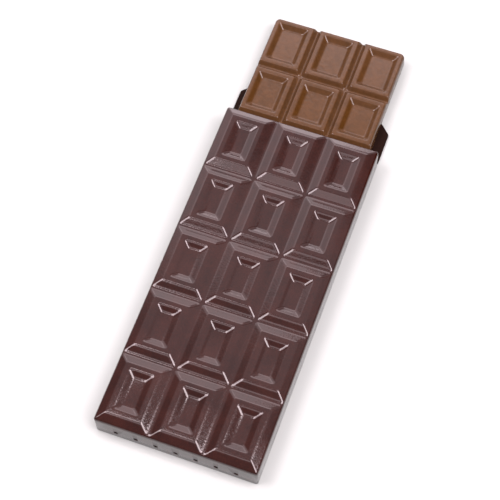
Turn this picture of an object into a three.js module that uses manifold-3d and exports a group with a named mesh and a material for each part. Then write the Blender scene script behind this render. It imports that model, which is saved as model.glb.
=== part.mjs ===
// A slab of milk chocolate, part-way out of a hard plastic case that is moulded as a bar of dark
// chocolate. Millimetres, +Z up. Everything lies flat: X runs across, Y runs along, the closed end
// of the case is at -Y and its open mouth faces +Y. The origin is under the middle of the whole.
import * as THREE from 'three';
import { mergeVertices } from 'three/addons/utils/BufferGeometryUtils.js';
import Module from 'manifold-3d';

const wasm = await Module();
wasm.setup();

// The case: one moulded cover, open below and at the mouth, with a back plate set into it.
const CASE_WIDTH = 80;
const CASE_LENGTH = 177.5;
const CASE_CORNER_RADIUS = 1.2;
const WALL = 2;
const SIDE_HEIGHT = 13.1;
const GROOVE_LEVEL = 14.6;
const EDGE_INSET = 1.3;
const CEILING = 11.4;

// The relief on the cover: a grid of blocks, each with sloping sides, a flat land and a sunk window.
const COLUMNS = 3;
const ROWS = 5;
const GROOVE_HALF_WIDTH = 0.7;
const LAND_INSET = 5.35;
const LAND_HEIGHT = 1.6;
const LAND_WIDTH = 2.5;
const WINDOW_SLOPE = 2.7;
const WINDOW_DEPTH = 2.4;

// A row of round holes through the closed end.
const HOLE_COUNT = 7;
const HOLE_PITCH = 9.85;
const HOLE_RADIUS = 1.1;
const HOLE_HEIGHT = 5.2;
const HOLE_SIDES = 20;

// The back plate: it fills the cover's open underside and runs on past the mouth as a tongue.
const BACK_THICKNESS = 2;
const TONGUE_LENGTH = 25;
const TONGUE_CHAMFER = 7;
const FIT_GAP = 0.3;

// The milk chocolate slab, in the same grid of blocks at its own pitch.
const SLAB_WIDTH = 70.5;
const SLAB_BASE_HEIGHT = 4.4;
const SLAB_CORNER_RADIUS = 2.5;
const SLAB_COLUMN_PITCH = 24.5;
const SLAB_ROW_PITCH = 30;
const SLAB_GROOVE_HALF_WIDTH = 0.6;
const SLAB_BLOCK_HEIGHT = 2.6;
const SLAB_BLOCK_SLOPE = 1.5;
const SLAB_LAND_WIDTH = 2.2;
const SLAB_WINDOW_SLOPE = 2.4;
const SLAB_WINDOW_DEPTH = 2.7;
const SLAB_OUT_OF_MOUTH = 62.6;
const SLAB_SIDE_SHIFT = -0.65;

const CUT_MARGIN = 1;
const CORNER_STEPS = 5;

// Places worked out from the sizes above.
const WHOLE_LENGTH = CASE_LENGTH + SLAB_OUT_OF_MOUTH;
const CLOSED_END = -WHOLE_LENGTH / 2;
const MOUTH = CLOSED_END + CASE_LENGTH;
const SLAB_FAR_END = WHOLE_LENGTH / 2;
const SLAB_LENGTH = ROWS * SLAB_ROW_PITCH;
const SLAB_UNDERSIDE = BACK_THICKNESS + FIT_GAP;
const CASE_OUTLINE = rectangle(-CASE_WIDTH / 2, CASE_WIDTH / 2, CLOSED_END, MOUTH);

function rectangle(x0, x1, y0, y1) {
  return { x0, x1, y0, y1 };
}

function shrink(rect, by) {
  return rectangle(rect.x0 + by, rect.x1 - by, rect.y0 + by, rect.y1 - by);
}

// A closed solid from a three.js geometry whose shared corners are merged.
function toSolid(geometry) {
  const shell = geometry.clone();
  shell.deleteAttribute('normal');
  shell.deleteAttribute('uv');
  const merged = mergeVertices(shell);
  const mesh = new wasm.Mesh({
    numProp: 3,
    vertProperties: new Float32Array(merged.attributes.position.array),
    triVerts: new Uint32Array(merged.index.array),
  });
  return new wasm.Manifold(mesh);
}

// A four-sided block whose foot and top are rectangles of their own size.
function taperedBlock(foot, footZ, top, topZ) {
  const geometry = new THREE.BoxGeometry(1, 1, 1);
  const corners = geometry.attributes.position;
  for (let i = 0; i < corners.count; i += 1) {
    const isTop = corners.getZ(i) > 0;
    const rect = isTop ? top : foot;
    const x = corners.getX(i) > 0 ? rect.x1 : rect.x0;
    const y = corners.getY(i) > 0 ? rect.y1 : rect.y0;
    corners.setXYZ(i, x, y, isTop ? topZ : footZ);
  }
  return toSolid(geometry);
}

function straightBlock(rect, z0, z1) {
  return taperedBlock(rect, z0, rect, z1);
}

// An upright block on a rectangle whose four corners are rounded in plan.
function roundedBlock(rect, radius, z0, z1) {
  const outline = new THREE.Shape();
  outline.absarc(rect.x1 - radius, rect.y0 + radius, radius, -Math.PI / 2, 0);
  outline.absarc(rect.x1 - radius, rect.y1 - radius, radius, 0, Math.PI / 2);
  outline.absarc(rect.x0 + radius, rect.y1 - radius, radius, Math.PI / 2, Math.PI);
  outline.absarc(rect.x0 + radius, rect.y0 + radius, radius, Math.PI, 1.5 * Math.PI);
  const geometry = new THREE.ExtrudeGeometry(outline, {
    depth: z1 - z0,
    bevelEnabled: false,
    curveSegments: CORNER_STEPS,
  });
  return toSolid(geometry.translate(0, 0, z0));
}

// The cells of a grid inside an outline. An inner cell stops half a groove short of the line that it
// shares with its neighbour, and an outer one stops a margin inside the outline.
function gridCells(outline, columnLines, rowLines, halfGroove, margin) {
  const spans = (low, high, lines) => {
    const starts = [low + margin, ...lines.map((line) => line + halfGroove)];
    const ends = [...lines.map((line) => line - halfGroove), high - margin];
    return starts.map((start, i) => [start, ends[i]]);
  };
  const cells = [];
  for (const [x0, x1] of spans(outline.x0, outline.x1, columnLines)) {
    for (const [y0, y1] of spans(outline.y0, outline.y1, rowLines)) {
      cells.push(rectangle(x0, x1, y0, y1));
    }
  }
  return cells;
}

// One chocolate block: raised on sloping sides to a flat land, with a window sunk into its top.
function raiseBlock(body, foot, land, form) {
  const top = form.level + form.height;
  const raised = body.add(taperedBlock(foot, form.level, land, top));
  const rim = shrink(land, form.landWidth);
  const floor = shrink(rim, form.windowSlope);
  return raised.subtract(taperedBlock(floor, top - form.windowDepth, rim, top));
}

function caseLines(start, length, count) {
  const pitch = length / count;
  return Array.from({ length: count - 1 }, (_, i) => start + (i + 1) * pitch);
}

function caseCover() {
  // Flat-topped body whose upper edge is chamfered all round.
  const upright = roundedBlock(CASE_OUTLINE, CASE_CORNER_RADIUS, 0, GROOVE_LEVEL);
  const spread = (SIDE_HEIGHT * EDGE_INSET) / (GROOVE_LEVEL - SIDE_HEIGHT);
  const chamfer = taperedBlock(
    shrink(CASE_OUTLINE, -spread), 0, shrink(CASE_OUTLINE, EDGE_INSET), GROOVE_LEVEL,
  );
  let body = upright.intersect(chamfer);

  // The relief. Every block's land is the same distance from its grid line or from the case's edge.
  const columnLines = caseLines(CASE_OUTLINE.x0, CASE_WIDTH, COLUMNS);
  const rowLines = caseLines(CASE_OUTLINE.y0, CASE_LENGTH, ROWS);
  const feet = gridCells(CASE_OUTLINE, columnLines, rowLines, GROOVE_HALF_WIDTH, EDGE_INSET);
  const lands = gridCells(CASE_OUTLINE, columnLines, rowLines, LAND_INSET, LAND_INSET);
  const form = {
    level: GROOVE_LEVEL,
    height: LAND_HEIGHT,
    landWidth: LAND_WIDTH,
    windowSlope: WINDOW_SLOPE,
    windowDepth: WINDOW_DEPTH,
  };
  feet.forEach((foot, i) => {
    body = raiseBlock(body, foot, lands[i], form);
  });

  // The room inside, open below and at the mouth.
  const room = shrink(CASE_OUTLINE, WALL);
  room.y1 = MOUTH + CUT_MARGIN;
  body = body.subtract(straightBlock(room, -CUT_MARGIN, CEILING));

  for (let i = 0; i < HOLE_COUNT; i += 1) {
    const drill = new THREE.CylinderGeometry(
      HOLE_RADIUS, HOLE_RADIUS, 2 * (WALL + CUT_MARGIN), HOLE_SIDES,
    );
    drill.translate((i - (HOLE_COUNT - 1) / 2) * HOLE_PITCH, CLOSED_END, HOLE_HEIGHT);
    body = body.subtract(toSolid(drill));
  }
  return body;
}

function caseBack() {
  const inner = CASE_WIDTH / 2 - WALL - FIT_GAP;
  const outer = CASE_WIDTH / 2;
  const shoulder = MOUTH + FIT_GAP;
  const tip = MOUTH + TONGUE_LENGTH;
  const outline = new THREE.Shape();
  outline.moveTo(-inner, CLOSED_END + WALL + FIT_GAP);
  outline.lineTo(inner, CLOSED_END + WALL + FIT_GAP);
  outline.lineTo(inner, shoulder);
  outline.lineTo(outer, shoulder);
  outline.lineTo(outer, tip - TONGUE_CHAMFER);
  outline.lineTo(outer - TONGUE_CHAMFER, tip);
  outline.lineTo(TONGUE_CHAMFER - outer, tip);
  outline.lineTo(-outer, tip - TONGUE_CHAMFER);
  outline.lineTo(-outer, shoulder);
  outline.lineTo(-inner, shoulder);
  outline.closePath();
  const plate = new THREE.ExtrudeGeometry(outline, { depth: BACK_THICKNESS, bevelEnabled: false });
  return toSolid(plate);
}

function milkSlab() {
  const outline = rectangle(
    SLAB_SIDE_SHIFT - SLAB_WIDTH / 2, SLAB_SIDE_SHIFT + SLAB_WIDTH / 2,
    SLAB_FAR_END - SLAB_LENGTH, SLAB_FAR_END,
  );
  const level = SLAB_UNDERSIDE + SLAB_BASE_HEIGHT;
  const top = level + SLAB_BLOCK_HEIGHT;
  let body = straightBlock(outline, SLAB_UNDERSIDE, level);

  const columnLines = [-1, 1].map((side) => SLAB_SIDE_SHIFT + (side * SLAB_COLUMN_PITCH) / 2);
  const rowLines = caseLines(outline.y0, SLAB_LENGTH, ROWS);
  const feet = gridCells(outline, columnLines, rowLines, SLAB_GROOVE_HALF_WIDTH, 0);
  const form = {
    level,
    height: SLAB_BLOCK_HEIGHT,
    landWidth: SLAB_LAND_WIDTH,
    windowSlope: SLAB_WINDOW_SLOPE,
    windowDepth: SLAB_WINDOW_DEPTH,
  };
  for (const foot of feet) {
    body = raiseBlock(body, foot, shrink(foot, SLAB_BLOCK_SLOPE), form);
  }
  return body.intersect(roundedBlock(outline, SLAB_CORNER_RADIUS, SLAB_UNDERSIDE, top));
}

function toMesh(name, solid, material) {
  const { vertProperties, triVerts } = solid.getMesh();
  const geometry = new THREE.BufferGeometry();
  geometry.setAttribute('position', new THREE.BufferAttribute(new Float32Array(vertProperties), 3));
  geometry.setIndex(new THREE.BufferAttribute(new Uint32Array(triVerts), 1));
  geometry.computeVertexNormals();
  const mesh = new THREE.Mesh(geometry, material);
  mesh.name = name;
  return mesh;
}

const darkGlossPlastic = new THREE.MeshStandardMaterial({
  color: 0x3d2523, roughness: 0.22, metalness: 0,
});
const blackBrownPlastic = new THREE.MeshStandardMaterial({
  color: 0x26191a, roughness: 0.35, metalness: 0,
});
const milkChocolate = new THREE.MeshStandardMaterial({
  color: 0x85624d, roughness: 0.45, metalness: 0,
});

const chocolateBarInCase = new THREE.Group();
chocolateBarInCase.add(
  toMesh('case_cover', caseCover(), darkGlossPlastic),
  toMesh('case_back', caseBack(), blackBrownPlastic),
  toMesh('milk_slab', milkSlab(), milkChocolate),
);

export default chocolateBarInCase;
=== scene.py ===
# %% [markdown]
# # A slab of milk chocolate in a case made to look like dark chocolate
# This notebook dresses three plain solids: a moulded cover with a relief of chocolate blocks, the
# back plate that closes it, and a real slab of milk chocolate lying on that plate. The solids fix
# where everything is and how large it is. Here each one gets the soft edges, the grain and the
# gloss that the real thing has. Sizes are in millimetres in the text and turned to metres by MM.

# %% Load the plain solids
import math

import bmesh
import bpy
import numpy as np
from mathutils import Matrix, Quaternion, Vector


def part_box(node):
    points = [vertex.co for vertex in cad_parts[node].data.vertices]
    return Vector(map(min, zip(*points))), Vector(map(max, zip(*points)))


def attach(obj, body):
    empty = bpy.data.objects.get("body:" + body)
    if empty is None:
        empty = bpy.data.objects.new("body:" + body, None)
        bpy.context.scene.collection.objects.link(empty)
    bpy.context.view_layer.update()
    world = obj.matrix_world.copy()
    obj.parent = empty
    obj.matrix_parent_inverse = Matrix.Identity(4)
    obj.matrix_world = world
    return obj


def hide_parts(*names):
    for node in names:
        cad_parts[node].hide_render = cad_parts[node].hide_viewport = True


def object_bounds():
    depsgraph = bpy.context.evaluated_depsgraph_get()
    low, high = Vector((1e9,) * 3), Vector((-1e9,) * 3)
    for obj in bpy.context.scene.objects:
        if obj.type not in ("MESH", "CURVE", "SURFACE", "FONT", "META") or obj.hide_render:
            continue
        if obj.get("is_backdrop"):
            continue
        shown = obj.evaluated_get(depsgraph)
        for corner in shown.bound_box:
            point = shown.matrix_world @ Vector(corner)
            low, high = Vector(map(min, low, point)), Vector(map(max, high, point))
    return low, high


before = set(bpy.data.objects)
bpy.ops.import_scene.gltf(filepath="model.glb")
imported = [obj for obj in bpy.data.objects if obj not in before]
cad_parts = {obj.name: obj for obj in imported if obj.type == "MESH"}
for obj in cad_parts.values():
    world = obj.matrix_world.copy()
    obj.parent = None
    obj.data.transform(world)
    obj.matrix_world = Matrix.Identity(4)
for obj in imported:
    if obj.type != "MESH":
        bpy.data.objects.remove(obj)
solid_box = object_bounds()
MM = 0.001
for name in sorted(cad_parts):
    low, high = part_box(name)
    size = [round((high[i] - low[i]) / MM, 1) for i in range(3)]
    print(f"{name}: {size[0]} x {size[1]} x {size[2]} mm")

# %% [markdown]
# ## Helpers
# Every colour below is written as the hex value one would pick from a swatch card. Blender mixes
# light in linear values, so one function turns a swatch into a linear colour. Node trees are built
# with a second function, which adds one node and sets or links whatever it is given. A socket is
# given by its name, or by its number where several sockets of a node share one name.


# %% Colour swatches and nodes
def swatch(code):
    """The linear colour of a hex code such as #3d2523."""
    parts = [int(code[i : i + 2], 16) / 255 for i in (1, 3, 5)]
    linear = [c / 12.92 if c <= 0.04045 else ((c + 0.055) / 1.055) ** 2.4 for c in parts]
    return (*linear, 1.0)


def add(tree, kind, settings=None, inputs=None):
    """Adds one node. An input that is another node's socket is linked, and any other is set."""
    node = tree.nodes.new(kind)
    for key, value in (settings or {}).items():
        setattr(node, key, value)
    for socket, value in (inputs or {}).items():
        if isinstance(value, bpy.types.NodeSocket):
            tree.links.new(value, node.inputs[socket])
        else:
            node.inputs[socket].default_value = value
    return node


def new_finish(name):
    """A material with an empty node tree and its output node."""
    finish = bpy.data.materials.new(name)
    finish.use_nodes = True
    finish.node_tree.nodes.clear()
    return finish, add(finish.node_tree, "ShaderNodeOutputMaterial")


print("chocolate brown in linear light:", [round(c, 3) for c in swatch("#3d2523")[:3]])

# %% [markdown]
# ## The finish of the case: moulded gloss polystyrene
# The case is injection-moulded in a brown polystyrene. Its gloss comes from the polished steel of
# the mould, so it reflects lamps in sharp bright lines. Two things break those lines up: the slow
# waviness of a thin moulding that shrank as it cooled, and a fine grain that was left in the steel.
# Both are bumps here, because neither changes the outline. The brown itself drifts a little, as the
# pigment followed the flow of the melt, and the grain tints it from speck to speck. The cover is
# glossy and the back plate, from a duller mould, is satin. The back plate is nearly black: partly
# its own black brown, partly painted shade, as its tongue lies low beside the slab.

# %% A brown that drifts
# Noise stays near its middle: these ranges hold nearly all of one noise, and of two added up.
ONE_NOISE = (0.35, 0.65)
TWO_NOISES = (0.75, 1.25)


def drifting_brown(tree, noises, dark, light):
    """A colour that drifts from the dark swatch to the light one where two noises add up to more."""
    first, second = [noise.outputs["Fac"] for noise in noises]
    both = add(tree, "ShaderNodeMath", {"operation": "ADD"}, {0: first, 1: second})
    low, high = TWO_NOISES
    share = add(tree, "ShaderNodeMapRange", inputs={"Value": both.outputs[0], 1: low, 2: high})
    colour = add(
        tree,
        "ShaderNodeMix",
        {"data_type": "RGBA"},
        {0: share.outputs[0], 6: swatch(dark), 7: swatch(light)},
    )
    return colour.outputs[2]


print("one noise stays within", ONE_NOISE, "and two within", TWO_NOISES)

# %% Brown polystyrene
# Real grain is nearer 0.2 mm wide, which is too fine to show, so it is drawn coarser.
GRAIN_WIDTH = 0.8 * MM
WAVE_WIDTH = 5.0 * MM
FLOW_WIDTH = 11.0 * MM
POLYSTYRENE_IOR = 1.59


def moulded_polystyrene(name, dark, light, roughness, grain_depth, wave_depth, mirror):
    """Brown plastic between two swatches. Mirror is how strongly it reflects, with 0.5 as normal."""
    finish, output = new_finish(name)
    tree = finish.node_tree
    place = add(tree, "ShaderNodeTexCoord").outputs["Object"]
    flow = add(
        tree,
        "ShaderNodeTexNoise",
        inputs={"Vector": place, "Scale": 1 / FLOW_WIDTH, "Detail": 4.0, "Roughness": 0.6},
    )
    grain = add(
        tree,
        "ShaderNodeTexNoise",
        inputs={"Vector": place, "Scale": 1 / GRAIN_WIDTH, "Detail": 2.0, "Roughness": 0.55},
    )
    wave = add(
        tree,
        "ShaderNodeTexNoise",
        inputs={"Vector": place, "Scale": 1 / WAVE_WIDTH, "Detail": 1.0},
    )
    low_noise, high_noise = ONE_NOISE
    smooth, dull = roughness
    gloss = add(
        tree,
        "ShaderNodeMapRange",
        inputs={"Value": flow.outputs["Fac"], 1: low_noise, 2: high_noise, 3: smooth, 4: dull},
    )
    slow = add(
        tree,
        "ShaderNodeBump",
        inputs={"Strength": 1.0, "Distance": wave_depth, "Height": wave.outputs["Fac"]},
    )
    fine = add(
        tree,
        "ShaderNodeBump",
        inputs={
            "Strength": 1.0,
            "Distance": grain_depth,
            "Height": grain.outputs["Fac"],
            "Normal": slow.outputs["Normal"],
        },
    )
    shader = add(
        tree,
        "ShaderNodeBsdfPrincipled",
        inputs={
            "Base Color": drifting_brown(tree, (flow, grain), dark, light),
            "Roughness": gloss.outputs[0],
            "IOR": POLYSTYRENE_IOR,
            "Specular IOR Level": mirror,
            "Normal": fine.outputs["Normal"],
        },
    )
    tree.links.new(shader.outputs[0], output.inputs["Surface"])
    return finish


print("grain drawn", round(GRAIN_WIDTH / MM, 1), "mm wide, waves", round(WAVE_WIDTH / MM, 1), "mm")

# %% Finishes of cover and back plate
# Deep brown with sharp highlights, which the grain breaks into dotted lines.
cover_finish = moulded_polystyrene(
    "moulded gloss polystyrene, dark chocolate brown",
    dark="#200d0a",
    light="#2d130e",
    roughness=(0.06, 0.09),
    grain_depth=0.018 * MM,
    wave_depth=0.014 * MM,
    mirror=0.5,
)
# Nearly black, with no highlight to speak of: partly the plate's own black brown, partly painted
# shade, so the tongue reads as a shadowed plate.
back_finish_with_painted_shade = moulded_polystyrene(
    "moulded satin polystyrene, black brown with painted shade",
    dark="#150a06",
    light="#1c0e09",
    roughness=(0.45, 0.55),
    grain_depth=0.012 * MM,
    wave_depth=0.01 * MM,
    mirror=0.03,
)
print("finishes of the case:", cover_finish.name, "and", back_finish_with_painted_shade.name)

# %% [markdown]
# ## The finish of the slab: tempered milk chocolate
# Milk chocolate that was tempered well sets with a soft satin shine. It copies the mould, so its
# faces are smooth, but milk solids leave the brown faintly mottled, and handling leaves shallow
# dents. The mottle is a change of colour and the dents are a bump, as both are too slight to model.

# %% Milk chocolate
MOTTLE_WIDTH = 6.0 * MM
RIPPLE_WIDTH = 1.6 * MM
DENT_DEPTH = 0.03 * MM
SATIN_ROUGHNESS = 0.13
# A little under the 1.46 of pure cocoa butter, as handling dulls the face.
CHOCOLATE_IOR = 1.42


def milk_chocolate(name, dark, light):
    """Brown between two swatches, with a satin shine that catches the eye only on edges and mitres."""
    finish, output = new_finish(name)
    tree = finish.node_tree
    place = add(tree, "ShaderNodeTexCoord").outputs["Object"]
    mottle = add(
        tree,
        "ShaderNodeTexNoise",
        inputs={"Vector": place, "Scale": 1 / MOTTLE_WIDTH, "Detail": 5.0, "Roughness": 0.6},
    )
    ripple = add(
        tree,
        "ShaderNodeTexNoise",
        inputs={"Vector": place, "Scale": 1 / RIPPLE_WIDTH, "Detail": 3.0},
    )
    dents = add(
        tree,
        "ShaderNodeBump",
        inputs={"Strength": 1.0, "Distance": DENT_DEPTH, "Height": ripple.outputs["Fac"]},
    )
    shader = add(
        tree,
        "ShaderNodeBsdfPrincipled",
        inputs={
            "Base Color": drifting_brown(tree, (mottle, ripple), dark, light),
            "Roughness": SATIN_ROUGHNESS,
            "IOR": CHOCOLATE_IOR,
            "Normal": dents.outputs["Normal"],
        },
    )
    tree.links.new(shader.outputs[0], output.inputs["Surface"])
    return finish


slab_finish = milk_chocolate("tempered milk chocolate", dark="#412c19", light="#4c331d")
print("slab finish:", slab_finish.name)

# %% [markdown]
# ## One rule for every block of chocolate
# Cover and slab carry the same relief at different sizes: blocks with sloping sides, a flat land
# and a window sunk into the top. A mould maker would cut one block and repeat it. Here a single
# rule raises a flat sheet: it measures how far each point lies inside its block, and looks up the
# height of a block's profile there. Only the grooves between two blocks lead down. Towards the
# bar's outer edge the profile climbs out of the window and stays level on the land, and one flat
# bevel that runs round the whole bar takes off whatever stands above it. Each crease is a smooth
# maximum or minimum, rounded as a ball-nosed cutter would leave it, and so are the mitres where two
# slopes meet.

# %% Sizes that the rule takes
RELIEF_SIZES = [
    "Width",
    "Length",
    "Corner radius",
    "Column pitch",
    "Row pitch",
    "Half groove",
    "Edge margin",
    "Slope run",
    "Height",
    "Land width",
    "Window slope",
    "Window depth",
    "Groove rounding",
    "Ridge rounding",
    "Rim rounding",
    "Floor rounding",
    "Mitre rounding",
    "Edge radius",
    "Edge height",
    "Bevel run",
    "Bevel rounding",
    "Sheet level",
]
print("the rule takes", len(RELIEF_SIZES), "sizes")

# %% [markdown]
# ## Steps along one axis
# The rule is a chain of small sums, and each one becomes a node. It could be drawn by hand in the
# node editor, but a list is easier to read and to change. A step says what its result is called,
# which operation it does, and what it works on. The steps below run twice, once across the bar and
# once along it, because a block is ruled alike in both directions.

# %% Steps along one axis
AXIS_STEPS = [
    # How far the nearest groove is, as if every block had one on both sides.
    ("cells", "DIVIDE", "place", "pitch"),
    ("nearest cell", "ROUND", "cells"),
    ("cell middle", "MULTIPLY", "nearest cell", "pitch"),
    ("off middle", "SUBTRACT", "place", "cell middle"),
    ("from middle", "ABSOLUTE", "off middle"),
    ("half pitch", "MULTIPLY", "pitch", 0.5),
    ("from groove", "SUBTRACT", "half pitch", "from middle"),
    # The outer half of an outer block has no groove ahead, so the way from the inner one goes on.
    ("half span", "MULTIPLY", "span", 0.5),
    ("from axis", "ABSOLUTE", "place"),
    ("from edge", "SUBTRACT", "half span", "from axis"),
    ("past last middle", "SUBTRACT", "half pitch", "from edge"),
    ("in outer half", "MAXIMUM", "past last middle", 0.0),
    ("there and back", "MULTIPLY", "in outer half", 2.0),
    ("from inner groove", "ADD", "from groove", "there and back"),
    # How far up the profile a point lies. The shorter way counts, from the groove's foot or from
    # the outer edge, but the way from the edge never falls below the middle of the land.
    ("from foot", "SUBTRACT", "from inner groove", "Half groove"),
    ("from outer foot", "SUBTRACT", "from edge", "Edge margin"),
    ("half land", "MULTIPLY", "Land width", 0.5),
    ("mid land", "ADD", "Slope run", "half land"),
    ("held on land", "MAXIMUM", "from outer foot", "mid land"),
    ("inside", "MINIMUM", "from foot", "held on land"),
    # How far past the start of a corner's arc, and the same squared.
    ("over", "SUBTRACT", "Corner radius", "from edge"),
    ("past", "MAXIMUM", "over", 0.0),
    ("past square", "MULTIPLY", "past", "past"),
]
print("steps along each axis:", len(AXIS_STEPS))

# %% [markdown]
# ## Steps of the profile
# Now both directions come together. The first steps follow the outline and the profile of a block,
# and the rest put the bevel round the bar, roll its outer edge, and fade the lift out below the
# sheet. They run once.

# %% Steps of the profile
SHAPE_STEPS = [
    # The outline's own corners are rounded, so distance to the outline follows an arc there.
    ("both squares", "ADD", "past square X", "past square Y"),
    ("arc", "SQRT", "both squares"),
    ("further over", "MAXIMUM", "over X", "over Y"),
    ("straight", "MINIMUM", "further over", 0.0),
    ("within arc", "SUBTRACT", "Corner radius", "arc"),
    ("outline", "SUBTRACT", "within arc", "straight"),
    # Reach is the way covered up a block's profile. The smooth minimum rounds the mitres.
    ("reach", "SMOOTH_MIN", "inside X", "inside Y", "Mitre rounding"),
    # The profile: up from the groove, level on the land, down into the window, level on its floor.
    ("land end", "ADD", "Slope run", "Land width"),
    ("floor start", "ADD", "land end", "Window slope"),
    ("past top", "SUBTRACT", "reach", "Slope run"),
    ("past land", "SUBTRACT", "reach", "land end"),
    ("past window slope", "SUBTRACT", "reach", "floor start"),
    ("climbed", "SMOOTH_MAX", "reach", 0.0, "Groove rounding"),
    ("levelled", "SMOOTH_MAX", "past top", 0.0, "Ridge rounding"),
    ("sunk", "SMOOTH_MAX", "past land", 0.0, "Rim rounding"),
    ("floored", "SMOOTH_MAX", "past window slope", 0.0, "Floor rounding"),
    ("climb", "SUBTRACT", "climbed", "levelled"),
    ("rise", "DIVIDE", "Height", "Slope run"),
    ("up", "MULTIPLY", "climb", "rise"),
    ("sink", "SUBTRACT", "sunk", "floored"),
    ("fall", "DIVIDE", "Window depth", "Window slope"),
    ("down", "MULTIPLY", "sink", "fall"),
    ("relief", "SUBTRACT", "up", "down"),
    # One flat bevel runs round the whole bar and takes off whatever stands above it.
    ("bevel climb", "SUBTRACT", "Height", "Edge height"),
    ("bevel rise", "DIVIDE", "bevel climb", "Bevel run"),
    ("along bevel", "MULTIPLY", "outline", "bevel rise"),
    ("bevel", "ADD", "along bevel", "Edge height"),
    ("bevelled", "SMOOTH_MIN", "relief", "bevel", "Bevel rounding"),
    # The outer edge rolls over a quarter circle into the side wall.
    ("gap", "SUBTRACT", "Edge radius", "outline"),
    ("short", "MAXIMUM", "gap", 0.0),
    ("short square", "MULTIPLY", "short", "short"),
    ("radius square", "MULTIPLY", "Edge radius", "Edge radius"),
    ("rest square", "SUBTRACT", "radius square", "short square"),
    ("rest above zero", "MAXIMUM", "rest square", 0.0),
    ("rest", "SQRT", "rest above zero"),
    ("rolled", "SUBTRACT", "Edge radius", "rest"),
    ("sheet lift", "SUBTRACT", "bevelled", "rolled"),
    # Only the sheet moves. Down the side walls the lift fades to nothing.
    ("below sheet", "SUBTRACT", "Sheet level", "place Z"),
    ("share below", "DIVIDE", "below sheet", "Edge radius"),
    ("share above", "SUBTRACT", 1.0, "share below"),
    ("fade", "MAXIMUM", "share above", 0.0),
    ("lift", "MULTIPLY", "sheet lift", "fade"),
]
print("steps of the profile:", len(SHAPE_STEPS))

# %% [markdown]
# ## The rule as a Geometry Nodes tree
# One loop turns the steps into math nodes and links them by the names of their results. The sizes
# are inputs of the tree, so the cover and the slab share it. The last result lifts each point. Every
# tree starts with named inputs and ends as a plain mesh with a finish, so helpers do both ends.


# %% Start and end of a tree that makes a shape
def new_shape_tree(name, kinds):
    """An empty tree with an input of each title and kind, and the sockets where they come in."""
    tree = bpy.data.node_groups.new(name, "GeometryNodeTree")
    face = tree.interface
    face.new_socket(name="Geometry", in_out="OUTPUT", socket_type="NodeSocketGeometry")
    for title, kind in {"Geometry": "Geometry", **kinds, "Finish": "Material"}.items():
        face.new_socket(name=title, in_out="INPUT", socket_type=f"NodeSocket{kind}")
    return tree, add(tree, "NodeGroupInput").outputs


def end_shape_tree(tree, shape, finish):
    """Turns copies into real mesh, puts the finish on, and hands the shape out of the tree."""
    real = add(tree, "GeometryNodeRealizeInstances", inputs={0: shape})
    dressed = add(tree, "GeometryNodeSetMaterial", inputs={0: real.outputs[0], "Material": finish})
    add(tree, "NodeGroupOutput", inputs={0: dressed.outputs[0]})
    print(f"{tree.name}: {len(tree.nodes)} nodes")


# %% The relief rule as a Geometry Nodes tree
def relief_tree():
    """Raises the flat sheet on top of a blank into blocks, and leaves the rest of the blank alone."""
    tree, given = new_shape_tree("raise the blocks", {title: "Float" for title in RELIEF_SIZES})
    position = add(tree, "GeometryNodeInputPosition").outputs[0]
    point = add(tree, "ShaderNodeSeparateXYZ", inputs={0: position})
    known = {title: given[title] for title in RELIEF_SIZES}
    known["place Z"] = point.outputs["Z"]
    # The axis steps are listed twice, with the axis added to the name of every result.
    jobs = []
    for axis, span, pitch in (("X", "Width", "Column pitch"), ("Y", "Length", "Row pitch")):
        own = {"place": f"place {axis}", "span": span, "pitch": pitch}
        own.update({step[0]: f"{step[0]} {axis}" for step in AXIS_STEPS})
        known[f"place {axis}"] = point.outputs[axis]
        for result, operation, *values in AXIS_STEPS:
            jobs.append((own[result], operation, *[own.get(v, v) for v in values]))
    for result, operation, *values in jobs + SHAPE_STEPS:
        inputs = {i: known.get(v, v) for i, v in enumerate(values)}
        known[result] = add(tree, "ShaderNodeMath", {"operation": operation}, inputs).outputs[0]
    offset = add(tree, "ShaderNodeCombineXYZ", inputs={2: known["lift"]})
    raised = add(
        tree,
        "GeometryNodeSetPosition",
        inputs={0: given["Geometry"], "Offset": offset.outputs[0]},
    )
    end_shape_tree(tree, raised.outputs[0], given["Finish"])
    return tree


relief = relief_tree()

# %% [markdown]
# ## The blank that the rule works on
# The rule only moves points, so the blank needs points where the shape bends. The sheet's lines lie
# close together near grooves and edges and stay away from the flat window floors. At the outline's
# corners the square sheet is drawn onto an arc, and a plain wall drops from its border to a flat
# underside, so the blank is a closed solid that can be cut.

# %% Lines of the ruled sheet
COLUMNS = 3
ROWS = 5
EDGE_STEPS = 6
LEAST_GAP = 0.05 * MM


def ruled_lines(span, pitch, cells, reach, step, edge_radius):
    """Where lines lie along one axis, from its middle: one each step, up to reach from a groove."""
    inner = [pitch * (i - cells / 2 + 1) for i in range(cells - 1)]
    bounds = [-span / 2, *inner, span / 2]
    rolled = [edge_radius * (1 - math.sin(a)) for a in np.linspace(math.pi / 2, 0, EDGE_STEPS)]
    places = []
    for low, high in zip(bounds, bounds[1:]):
        offsets = np.arange(0, reach + step, step)
        near_low = rolled if low == bounds[0] else []
        near_high = rolled if high == bounds[-1] else []
        places += [low + d for d in (*offsets, *near_low)]
        places += [high - d for d in (*offsets, *near_high)]
    places = sorted(places)
    kept = places[:1]
    for place in places[1:]:
        if place - kept[-1] > LEAST_GAP:
            kept.append(place)
    kept[-1] = span / 2
    return kept


print("the sheet is ruled for", COLUMNS, "columns and", ROWS, "rows of blocks")


# %% Rounded corners and walls of the blank
def drawn_in(x, y, arc_centre):
    """Where two lines cross. In a corner of the outline the crossing is drawn onto the arc."""
    over = Vector((abs(x) - arc_centre.x, abs(y) - arc_centre.y))
    if over.x <= 0 or over.y <= 0:
        return Vector((x, y))
    on_arc = arc_centre + over * (max(over) / over.length)
    return Vector((math.copysign(on_arc.x, x), math.copysign(on_arc.y, y)))


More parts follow.
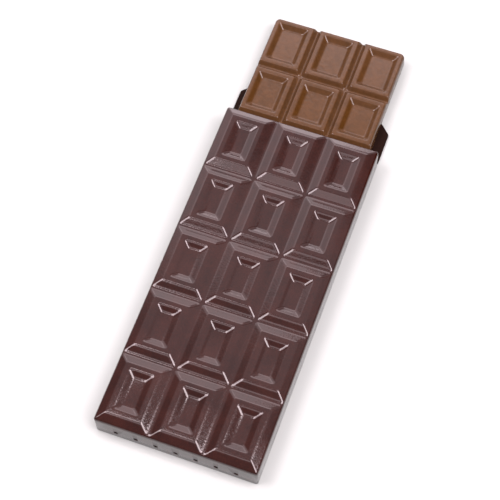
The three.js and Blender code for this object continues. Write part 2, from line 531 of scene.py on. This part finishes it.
def close_below(mesh, border, arc_centre, wall):
    """Drops walls from the border, with a ring at each (inset, height), and closes the underside."""
    ring = border
    for inset, height in wall:
        lower_ring = []
        for vert in border:
            past_x = max(abs(vert.co.x) - arc_centre.x, 0)
            past_y = max(abs(vert.co.y) - arc_centre.y, 0)
            out = Vector((past_x, past_y)).normalized()
            x = vert.co.x - math.copysign(out.x, vert.co.x) * inset
            y = vert.co.y - math.copysign(out.y, vert.co.y) * inset
            lower_ring.append(mesh.verts.new((x, y, height)))
        for i, vert in enumerate(ring):
            j = (i + 1) % len(ring)
            mesh.faces.new((vert, lower_ring[i], lower_ring[j], ring[j]))
        ring = lower_ring
    mesh.faces.new(ring[::-1])


corner = drawn_in(10, 10, Vector((5, 5)))
print("with an arc of radius 5, a corner at 10, 10 is drawn in to", [round(c, 2) for c in corner])


# %% Ruled blank
def ruled_blank(sizes, reach, step, wall):
    """A closed solid: a ruled sheet, side walls that follow (inset, height) steps, a flat underside."""
    edge_radius = sizes["Edge radius"]
    xs = ruled_lines(sizes["Width"], sizes["Column pitch"], COLUMNS, reach, step, edge_radius)
    ys = ruled_lines(sizes["Length"], sizes["Row pitch"], ROWS, reach, step, edge_radius)
    radius = sizes["Corner radius"]
    arc_centre = Vector((sizes["Width"] / 2 - radius, sizes["Length"] / 2 - radius))
    mesh = bmesh.new()
    grid = []
    for y in ys:
        row = []
        for x in xs:
            place = drawn_in(x, y, arc_centre)
            row.append(mesh.verts.new((*place, sizes["Sheet level"])))
        grid.append(row)
    for lower, upper in zip(grid, grid[1:]):
        for i in range(len(xs) - 1):
            mesh.faces.new((lower[i], lower[i + 1], upper[i + 1], upper[i]))
    right_side = [row[-1] for row in grid]
    left_side = [row[0] for row in grid]
    border = grid[0][:-1] + right_side[:-1] + grid[-1][:0:-1] + left_side[:0:-1]
    close_below(mesh, border, arc_centre, wall)
    print(f"blank: {len(xs)} lines along and {len(ys)} across")
    return mesh


print("a rounded edge gets", EDGE_STEPS, "lines of its own")

# %% [markdown]
# ## Small tools for finished pieces
# A piece is shown as a plain mesh with smooth shading, and only edges that a moulder would call
# sharp stay sharp. These helpers turn a working mesh into an object, run its modifiers, and attach
# it to the frame in place of the plain solid that it dresses. The last one raises a blank by the
# rule, for the cover and the slab alike.


# %% Objects and their modifiers
def to_object(name, mesh, finish=None):
    """Turns a working mesh into an object of the scene."""
    data = bpy.data.meshes.new(name)
    mesh.to_mesh(data)
    mesh.free()
    if finish:
        data.materials.append(finish)
    piece = bpy.data.objects.new(name, data)
    bpy.context.scene.collection.objects.link(piece)
    return piece


def bake_modifiers(piece):
    """Replaces the object's mesh by the result of its modifiers, and removes them."""
    bpy.context.view_layer.update()
    graph = bpy.context.evaluated_depsgraph_get()
    result = bpy.data.meshes.new_from_object(piece.evaluated_get(graph))
    piece.modifiers.clear()
    piece.data = result


def run_tree(piece, tree, values):
    """Runs a shape tree on the object, with its inputs given by their titles, and keeps the result."""
    modifier = piece.modifiers.new(tree.name, "NODES")
    modifier.node_group = tree
    for item in tree.interface.items_tree:
        if item.in_out == "INPUT" and item.name in values:
            modifier[item.identifier] = values[item.name]
    bake_modifiers(piece)


# %% Shading a piece and handing it over
SHARP_ANGLE = math.radians(38)


def shade(piece):
    """Smooth shading, with edges sharper than SHARP_ANGLE kept sharp."""
    mesh = bmesh.new()
    mesh.from_mesh(piece.data)
    for facet in mesh.faces:
        facet.smooth = True
    for edge in mesh.edges:
        edge.smooth = len(edge.link_faces) == 2 and edge.calc_face_angle() < SHARP_ANGLE
    mesh.to_mesh(piece.data)
    mesh.free()


def dress(piece, node):
    """Hands the piece over: it moves with the case and takes the place of the plain solid."""
    shade(piece)
    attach(piece, "root")
    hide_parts(node)
    piece.data.calc_loop_triangles()
    print(f"{piece.name}: {len(piece.data.loop_triangles)} triangles")


print("edges stay sharp above", round(math.degrees(SHARP_ANGLE)), "degrees")


# %% Raising a blank
def raised_blank(name, finish, sizes, reach, step, wall):
    """A ruled blank that the rule has raised, as an object with a plain mesh."""
    piece = to_object(name, ruled_blank(sizes, reach, step, wall))
    run_tree(piece, relief, {**sizes, "Finish": finish})
    print(f"{name}: raised to {len(piece.data.polygons)} faces")
    return piece


print("blanks are raised by the tree called", relief.name)

# %% [markdown]
# ## The cover
# The cover is one moulding: the relief on top, walls about 2 mm thick, open below and at the mouth.
# It could be sculpted block by block, but the rule keeps all fifteen blocks alike, as a mould does.
# So the blank is raised by the rule first, and hollowed out afterwards.

# %% Cover: its sizes
CLOSED_END = -120.05 * MM
MOUTH = 57.45 * MM
CASE_WIDTH = 80 * MM
CASE_LENGTH = MOUTH - CLOSED_END
COVER_SIZES = {
    "Width": CASE_WIDTH,
    "Length": CASE_LENGTH,
    "Corner radius": 1.2 * MM,
    "Column pitch": CASE_WIDTH / COLUMNS,
    "Row pitch": CASE_LENGTH / ROWS,
    "Half groove": 0.9 * MM,
    "Edge margin": 0.9 * MM,
    "Slope run": 3.6 * MM,
    "Height": 1.9 * MM,
    "Land width": 3.0 * MM,
    "Window slope": 2.8 * MM,
    "Window depth": 1.65 * MM,
    "Groove rounding": 1.0 * MM,
    "Ridge rounding": 1.0 * MM,
    "Rim rounding": 0.9 * MM,
    "Floor rounding": 0.9 * MM,
    "Mitre rounding": 1.6 * MM,
    "Edge radius": 0.8 * MM,
    "Edge height": -0.5 * MM,
    "Bevel run": 4.35 * MM,
    "Bevel rounding": 0.5 * MM,
    "Sheet level": 14.3 * MM,
}
print("case:", round(CASE_WIDTH / MM, 1), "x", round(CASE_LENGTH / MM, 1), "mm")

# %% Cover: raise the relief
COVER_RULED_REACH = 10.9 * MM
COVER_LINE_STEP = 0.35 * MM
# Inset and height down the side wall: straight, then eased into the underside.
COVER_WALL = [(0, 11.9 * MM), (0, 0.4 * MM), (0.12 * MM, 0.12 * MM), (0.4 * MM, 0)]
cover = raised_blank(
    "cover_moulding",
    cover_finish,
    COVER_SIZES,
    COVER_RULED_REACH,
    COVER_LINE_STEP,
    COVER_WALL,
)
COVER_MIDDLE = Vector((0, (CLOSED_END + MOUTH) / 2, 0))
cover.data.transform(Matrix.Translation(COVER_MIDDLE))
print("the cover's middle lies", round(-COVER_MIDDLE.y / MM, 1), "mm behind the origin")

# %% [markdown]
# ## Stacked outlines
# The back plate and the cutter for the room are both an outline carried upwards while it grows or
# shrinks a little, which is how a rounded or eased edge is described to a machinist. One helper
# stacks such outlines into a closed solid.

# %% Solid from an outline
LEAST_SPREAD = 0.3


def stacked(outline, rings):
    """A closed solid: the outline, moved inwards by each ring's inset, at each ring's height."""
    count = len(outline)
    mesh = bmesh.new()
    moves = []
    for i, place in enumerate(outline):
        before = (place - outline[i - 1]).normalized()
        after = (outline[(i + 1) % count] - place).normalized()
        inward_before = Vector((-before.y, before.x))
        inward_after = Vector((-after.y, after.x))
        middle = (inward_before + inward_after).normalized()
        moves.append(middle / max(middle.dot(inward_before), LEAST_SPREAD))
    levels = []
    for inset, height in rings:
        levels.append([mesh.verts.new((*(p + m * inset), height)) for p, m in zip(outline, moves)])
    for lower, upper in zip(levels, levels[1:]):
        for i in range(count):
            j = (i + 1) % count
            mesh.faces.new((lower[i], lower[j], upper[j], upper[i]))
    mesh.faces.new(levels[0][::-1])
    mesh.faces.new(levels[-1])
    return mesh


print("a corner may move out at most", round(1 / LEAST_SPREAD, 1), "times as far as its sides")

# %% [markdown]
# ## Hollowing the cover
# In the mould a core leaves the room for the slab, and seven pins leave a row of small vents in the
# closed end. Here both are cutters that are taken away from the raised blank. The room's lower rim
# is eased, so that it catches light instead of ending in a razor edge. The pins are a row, so
# Geometry Nodes sets one cylinder on each point of a line.

# %% Cover: the cutter for the room
WALL = 2 * MM
CEILING = 11.4 * MM
half_room = CASE_WIDTH / 2 - WALL
past_mouth = MOUTH + 3 * MM
room_outline = [
    Vector((-half_room, CLOSED_END + WALL)),
    Vector((half_room, CLOSED_END + WALL)),
    Vector((half_room, past_mouth)),
    Vector((-half_room, past_mouth)),
]
# Inset and height: wider below the eased rim, and rounded under the ceiling.
ROOM_RINGS = [
    (-0.5 * MM, -0.5 * MM),
    (-0.3 * MM, 0),
    (0, 0.4 * MM),
    (0, 10.9 * MM),
    (0.15 * MM, 11.25 * MM),
    (0.5 * MM, CEILING),
]
room_cutter = to_object("room_cutter", stacked(room_outline, ROOM_RINGS))
print("room:", round(2 * half_room / MM, 1), "mm wide,", round(CEILING / MM, 1), "mm high")

# %% Cover: the tree for a row of drills
DRILL_SIDES = 24


def vent_tree():
    """A row of drills: a line of points, one cylinder on each, turned to lie along the case."""
    kinds = {"Vents": "Int", "Start": "Vector", "Step": "Vector", "Radius": "Float", "Depth": "Float"}
    tree, given = new_shape_tree("row of drills", kinds)
    row = add(
        tree,
        "GeometryNodeMeshLine",
        inputs={"Count": given["Vents"], "Start Location": given["Start"], "Offset": given["Step"]},
    )
    drill = add(
        tree,
        "GeometryNodeMeshCylinder",
        inputs={"Vertices": DRILL_SIDES, "Radius": given["Radius"], "Depth": given["Depth"]},
    )
    placed = add(
        tree,
        "GeometryNodeInstanceOnPoints",
        inputs={
            "Points": row.outputs[0],
            "Instance": drill.outputs[0],
            "Rotation": (math.pi / 2, 0, 0),
        },
    )
    end_shape_tree(tree, placed.outputs[0], given["Finish"])
    return tree


row_of_drills = vent_tree()

# %% Cover: the drills
VENT_COUNT = 7
VENT_PITCH = 9.85 * MM
VENT_HEIGHT = 5.2 * MM
VENT_RADIUS = 1.1 * MM
DRILL_LENGTH = 6 * MM
VENTS = {
    "Vents": VENT_COUNT,
    "Start": (-VENT_PITCH * (VENT_COUNT - 1) / 2, CLOSED_END, VENT_HEIGHT),
    "Step": (VENT_PITCH, 0, 0),
    "Radius": VENT_RADIUS,
    "Depth": DRILL_LENGTH,
    "Finish": cover_finish,
}
drills = to_object("vent_drills", bmesh.new())
run_tree(drills, row_of_drills, VENTS)
print("drills:", VENT_COUNT, "of", round(2 * VENT_RADIUS / MM, 1), "mm")

# %% Cover: cut and dress
for cutter in (room_cutter, drills):
    cut = cover.modifiers.new("cut", "BOOLEAN")
    cut.operation = "DIFFERENCE"
    cut.solver = "MANIFOLD"
    cut.object = cutter
bake_modifiers(cover)
for cutter in (room_cutter, drills):
    bpy.data.objects.remove(cutter)
dress(cover, "case_cover")

# %% [markdown]
# ## The back plate and its tongue
# A flat plate closes the cover from below. It runs on past the mouth as a tongue with cut-off
# corners, which carries the slab as it slides out. Its upper edge is rounded like any moulded edge.
# A bevel modifier could round it, but the plate's corners each have a radius of their own, so the
# outline is rounded first and then stacked.

# %% Rounded corners
ARC_STEPS = 5


def filleted(points, radii):
    """The outline with each corner replaced by an arc of its own radius."""
    smooth = []
    count = len(points)
    for i, place in enumerate(points):
        radius = radii[i]
        if radius == 0:
            smooth.append(place)
            continue
        back = (points[i - 1] - place).normalized()
        ahead = (points[(i + 1) % count] - place).normalized()
        half = back.angle(ahead) / 2
        centre = place + (back + ahead).normalized() * (radius / math.sin(half))
        start = place + back * (radius / math.tan(half)) - centre
        end = place + ahead * (radius / math.tan(half)) - centre
        sweep = start.angle_signed(end)
        for k in range(ARC_STEPS + 1):
            turned = start.copy()
            turned.rotate(Matrix.Rotation(-sweep * k / ARC_STEPS, 2))
            smooth.append(centre + turned)
    return smooth


print("a rounded corner gets", ARC_STEPS + 1, "points")

# %% Back plate
FIT_GAP = 0.3 * MM
TONGUE_LENGTH = 25 * MM
TONGUE_CHAMFER = 7 * MM
inner = CASE_WIDTH / 2 - WALL - FIT_GAP
outer = CASE_WIDTH / 2
shoulder = MOUTH + FIT_GAP
tip = MOUTH + TONGUE_LENGTH
# Corner and radius, from the closed end to the tip of the tongue.
right_side = [
    (Vector((inner, CLOSED_END + WALL + FIT_GAP)), 0.5 * MM),
    (Vector((inner, shoulder)), 0),
    (Vector((outer, shoulder)), 0.6 * MM),
    (Vector((outer, tip - TONGUE_CHAMFER)), 1.5 * MM),
    (Vector((outer - TONGUE_CHAMFER, tip)), 1.5 * MM),
]
left_side = [(Vector((-p.x, p.y)), r) for p, r in reversed(right_side)]
plate_points = [p for p, _ in right_side + left_side]
plate_radii = [r for _, r in right_side + left_side]
# Inset and height: an eased lower edge, a straight side and a rounded upper edge.
PLATE_RINGS = [
    (0.35 * MM, 0),
    (0.1 * MM, 0.1 * MM),
    (0, 0.35 * MM),
    (0, 1.2 * MM),
    (0.06 * MM, 1.5 * MM),
    (0.24 * MM, 1.77 * MM),
    (0.5 * MM, 1.94 * MM),
    (0.8 * MM, 2.0 * MM),
]
plate_outline = filleted(plate_points, plate_radii)
back_plate = to_object("back_plate", stacked(plate_outline, PLATE_RINGS), back_finish_with_painted_shade)
dress(back_plate, "case_back")

# %% [markdown]
# ## The slab of milk chocolate
# The slab comes from its own mould, so the same rule raises it, with steeper block sides and
# narrower grooves. It was poured with its flat back upwards, and the walls lean out a little
# towards that back, so that the slab drops out of the mould.

# %% Slab: its sizes
SLAB_WIDTH = 70.5 * MM
SLAB_LENGTH = 150 * MM
SLAB_SIZES = {
    "Width": SLAB_WIDTH,
    "Length": SLAB_LENGTH,
    "Corner radius": 2.5 * MM,
    "Column pitch": 24.5 * MM,
    "Row pitch": 30 * MM,
    "Half groove": 0.45 * MM,
    "Edge margin": -1.2 * MM,
    "Slope run": 1.6 * MM,
    "Height": 2.4 * MM,
    "Land width": 2.2 * MM,
    "Window slope": 2.4 * MM,
    "Window depth": 2.2 * MM,
    "Groove rounding": 0.4 * MM,
    "Ridge rounding": 0.4 * MM,
    "Rim rounding": 0.5 * MM,
    "Floor rounding": 0.5 * MM,
    "Mitre rounding": 1.7 * MM,
    "Edge radius": 0.7 * MM,
    "Edge height": 1.2 * MM,
    "Bevel run": 0.8 * MM,
    "Bevel rounding": 0.6 * MM,
    "Sheet level": 6.9 * MM,
}
print("slab:", round(SLAB_WIDTH / MM, 1), "x", round(SLAB_LENGTH / MM, 1), "mm")

# %% Slab: raise the relief and dress
SLAB_MIDDLE = Vector((-0.65 * MM, 45.05 * MM, 0))
SLAB_RULED_REACH = 7.6 * MM
SLAB_LINE_STEP = 0.25 * MM
# Inset and height down the side wall: it leans out, then turns in under the slab's back.
SLAB_WALL = [
    (-0.05 * MM, 5.6 * MM),
    (-0.25 * MM, 2.7 * MM),
    (-0.15 * MM, 2.4 * MM),
    (0.2 * MM, 2.3 * MM),
]
slab = raised_blank(
    "chocolate_slab",
    slab_finish,
    SLAB_SIZES,
    SLAB_RULED_REACH,
    SLAB_LINE_STEP,
    SLAB_WALL,
)
slab.data.transform(Matrix.Translation(SLAB_MIDDLE))
dress(slab, "milk_slab")

# %% [markdown]
# ## The table
# The case lies on a plain white table. It could be a photographer's paper sweep, but a flat sheet
# does, as the camera looks down on it. Its paint is matt, so it shows a soft shadow and no mirror
# image, and a light grey paint is enough: under these lamps it comes out white.

# %% Table
TABLE_HALF_WIDTH = 3.0
PAINT_ROUGHNESS = 0.7


def white_table():
    """A wide flat sheet in matt paint, which the case lies on."""
    finish, output = new_finish("painted white table")
    shader = add(
        finish.node_tree,
        "ShaderNodeBsdfPrincipled",
        inputs={"Base Color": swatch("#a9b1ae"), "Roughness": PAINT_ROUGHNESS},
    )
    finish.node_tree.links.new(shader.outputs[0], output.inputs["Surface"])
    sheet = bmesh.new()
    bmesh.ops.create_grid(sheet, x_segments=1, y_segments=1, size=TABLE_HALF_WIDTH)
    table = to_object("table", sheet, finish)
    table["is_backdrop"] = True
    return table


print("table:", white_table().name, 2 * TABLE_HALF_WIDTH, "m wide")

# %% [markdown]
# ## The lamps
# A glossy face shows whatever it mirrors, so each lamp stands where one kind of face looks. Level
# faces mirror a point behind overhead, and a face that tilts to the right mirrors one to the right.
# Two large lamps stand left and right of overhead. Only mitres and window corners mirror them, and
# light up as thin bright lines. Two wings stand further out, for the steeper slopes. Two small
# bridges stand between them and carry those lines round the creases. A dim lamp in front reaches
# the slopes that face the camera, but only on the far rows. Three dim panels behind the case give
# the slopes that face away their even sheen. All are area lamps, as real soft boxes are.

# %% One soft lamp
LAMP_TARGET = Vector((0, -0.03, 0.015))
LAMP_TINT = "#ffeef3"


def soft_lamp(name, right, back, distance, size, brightness):
    """A lamp facing the case. Right and back are degrees from overhead, and size is in degrees too."""
    lean = math.radians(math.hypot(right, back))
    compass = math.atan2(back, right)
    level = math.sin(lean)
    away = Vector((level * math.cos(compass), level * math.sin(compass), math.cos(lean)))
    width, height = [2 * distance * math.tan(math.radians(angle) / 2) for angle in size]
    data = bpy.data.lights.new(name, "AREA")
    data.shape = "RECTANGLE"
    data.size = width
    data.size_y = height
    data.energy = brightness * math.pi * width * height
    data.color = swatch(LAMP_TINT)[:3]
    across = (Vector((1, 0, 0)) - away * away.x).normalized()
    along = away.cross(across)
    lamp = bpy.data.objects.new(name, data)
    turned = Matrix((across, along, away)).transposed().to_4x4()
    lamp.matrix_world = Matrix.Translation(LAMP_TARGET + away * distance) @ turned
    bpy.context.scene.collection.objects.link(lamp)
    return lamp


print("lamps point at:", [round(c / MM) for c in LAMP_TARGET], "mm")

# %% Lamps
NEAR = 1.5
FAR = 3.5
# The right lamp has a foot, which reaches further to the front than the lamp itself.
soft_lamp("right_lamp", 27, 2.7, NEAR, (38, 21.4), 12)
soft_lamp("right_foot", 34, -19, NEAR, (30, 21), 8)
soft_lamp("right_wing", 52, 4, NEAR, (13, 19), 6)
soft_lamp("left_lamp", -27, -7.5, NEAR, (23, 36), 10.5)
soft_lamp("left_wing", -48, -8, NEAR, (17, 30), 5)
soft_lamp("bridge_left", -12.5, 10, NEAR, (7, 5), 6.5)
soft_lamp("bridge_right", 8, 11, NEAR, (24, 7), 5)
soft_lamp("front_lamp", -10, -18.4, NEAR, (16, 21), 1.6)
soft_lamp("back_panel", -8, 46, FAR, (24, 25), 2.5)
soft_lamp("back_top", -25, 73, FAR, (24, 32), 1.6)
soft_lamp("back_low", -8, 87, FAR, (26, 6), 1.3)

# %% [markdown]
# ## The room
# Between the lamps the gloss mirrors the room itself. Its pale ceiling is brightest a little behind
# overhead and fades towards the dim side behind the camera. Bands with soft edges stand on it: a
# faint back wall, a pale left wall with a glow spread over it, a dark shelf across the right part of
# the back wall, and a dark right end, which keeps the left slopes of the windows deep brown. A
# picture of a studio could do this too, but bands can be moved one by one to see what each does.

# %% Room: ceiling
ROOM_TINT = "#fff1f7"
CEILING_WAY = (0.16, 0.3, 0.94)
CEILING_FADE = (0.4, 0.92)
CEILING_GLOW = (0.23, 0.7)
SOFT_EDGE = {"interpolation_type": "SMOOTHSTEP"}
world = bpy.data.worlds.new("studio room")
world.use_nodes = True
room = world.node_tree
room.nodes.clear()
ways = add(room, "ShaderNodeTexCoord").outputs["Generated"]
towards_ceiling = add(
    room,
    "ShaderNodeVectorMath",
    {"operation": "DOT_PRODUCT"},
    {0: ways, 1: CEILING_WAY},
).outputs["Value"]
fade_from, fade_to = CEILING_FADE
dim, bright = CEILING_GLOW
light = add(
    room,
    "ShaderNodeMapRange",
    SOFT_EDGE,
    {"Value": towards_ceiling, 1: fade_from, 2: fade_to, 3: dim, 4: bright},
).outputs[0]
print("ceiling glows from", dim, "to", bright)

# %% Room: walls, shelf and dark end
# A band is the light it adds and its edges. An edge names an axis of the way one looks, where along
# that axis the band is absent, and where it is full.
BANDS = {
    "back wall": (0.22, [("Y", 0.30, 0.38), ("X", -0.99, -0.85), ("X", 0.99, 0.85)]),
    "left wall": (0.8, [("Y", 0.35, 0.42), ("X", -0.25, -0.34), ("X", -0.92, -0.86)]),
    "left glow": (0.6, [("Y", 0.35, 0.44), ("X", -0.25, -0.34), ("X", -0.95, -0.5)]),
    "dark shelf": (-0.65, [("Y", 0.445, 0.465), ("Y", 0.56, 0.5), ("X", -0.2, 0.1)]),
    "dark right end": (-0.3, [("X", 0.68, 0.74)]),
}
parts = add(room, "ShaderNodeSeparateXYZ", inputs={0: ways}).outputs
for share, edges in BANDS.values():
    for axis, absent, full in edges:
        edge = add(room, "ShaderNodeMapRange", SOFT_EDGE, {"Value": parts[axis], 1: absent, 2: full})
        both = add(room, "ShaderNodeMath", {"operation": "MULTIPLY"}, {0: share, 1: edge.outputs[0]})
        share = both.outputs[0]
    light = add(room, "ShaderNodeMath", {"operation": "ADD"}, {0: light, 1: share}).outputs[0]
sky = add(room, "ShaderNodeBackground", inputs={"Color": swatch(ROOM_TINT), "Strength": light})
add(room, "ShaderNodeOutputWorld", inputs={"Surface": sky.outputs[0]})
bpy.context.scene.world = world
# Standard shows a swatch as it was picked, without a film look.
bpy.context.scene.view_settings.view_transform = "Standard"
print("bands:", list(BANDS))

# %% [markdown]
# ## The camera
# The camera looks down on the case from in front, a little from its right, and leans a trace to one
# side. A long lens keeps the rows nearly parallel while the far end still looks smaller.

# %% Camera
SENSOR = 36.0
FOCAL_LENGTH = 110.98
CAMERA_PLACE = Vector((124.2 * MM, -321.05 * MM, 677.5 * MM))
CAMERA_AIM = Vector((-1.58 * MM, -15.34 * MM, 14.6 * MM))
CAMERA_ROLL = math.radians(-2.65)
camera_data = bpy.data.cameras.new("camera")
camera_data.sensor_width = SENSOR
camera_data.lens = FOCAL_LENGTH
camera = bpy.data.objects.new("camera", camera_data)
camera.location = CAMERA_PLACE
camera.rotation_mode = "QUATERNION"
level_view = (CAMERA_AIM - CAMERA_PLACE).to_track_quat("-Z", "Y")
camera.rotation_quaternion = level_view @ Quaternion((0, 0, 1), CAMERA_ROLL)
bpy.context.scene.collection.objects.link(camera)
bpy.context.scene.camera = camera
print("camera distance:", round((CAMERA_AIM - CAMERA_PLACE).length, 3), "m")

# %% [markdown]
# ## The last measure
# The dressed pieces should be as large as the plain solids, give or take a rounded edge, so both
# boxes are written down side by side.

# %% Sizes of solids and looks, then the end
dressed_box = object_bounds()
for title, (low, high) in (("solids", solid_box), ("looks", dressed_box)):
    print(title, "from", [round(c / MM, 1) for c in low], "to", [round(c / MM, 1) for c in high], "mm")
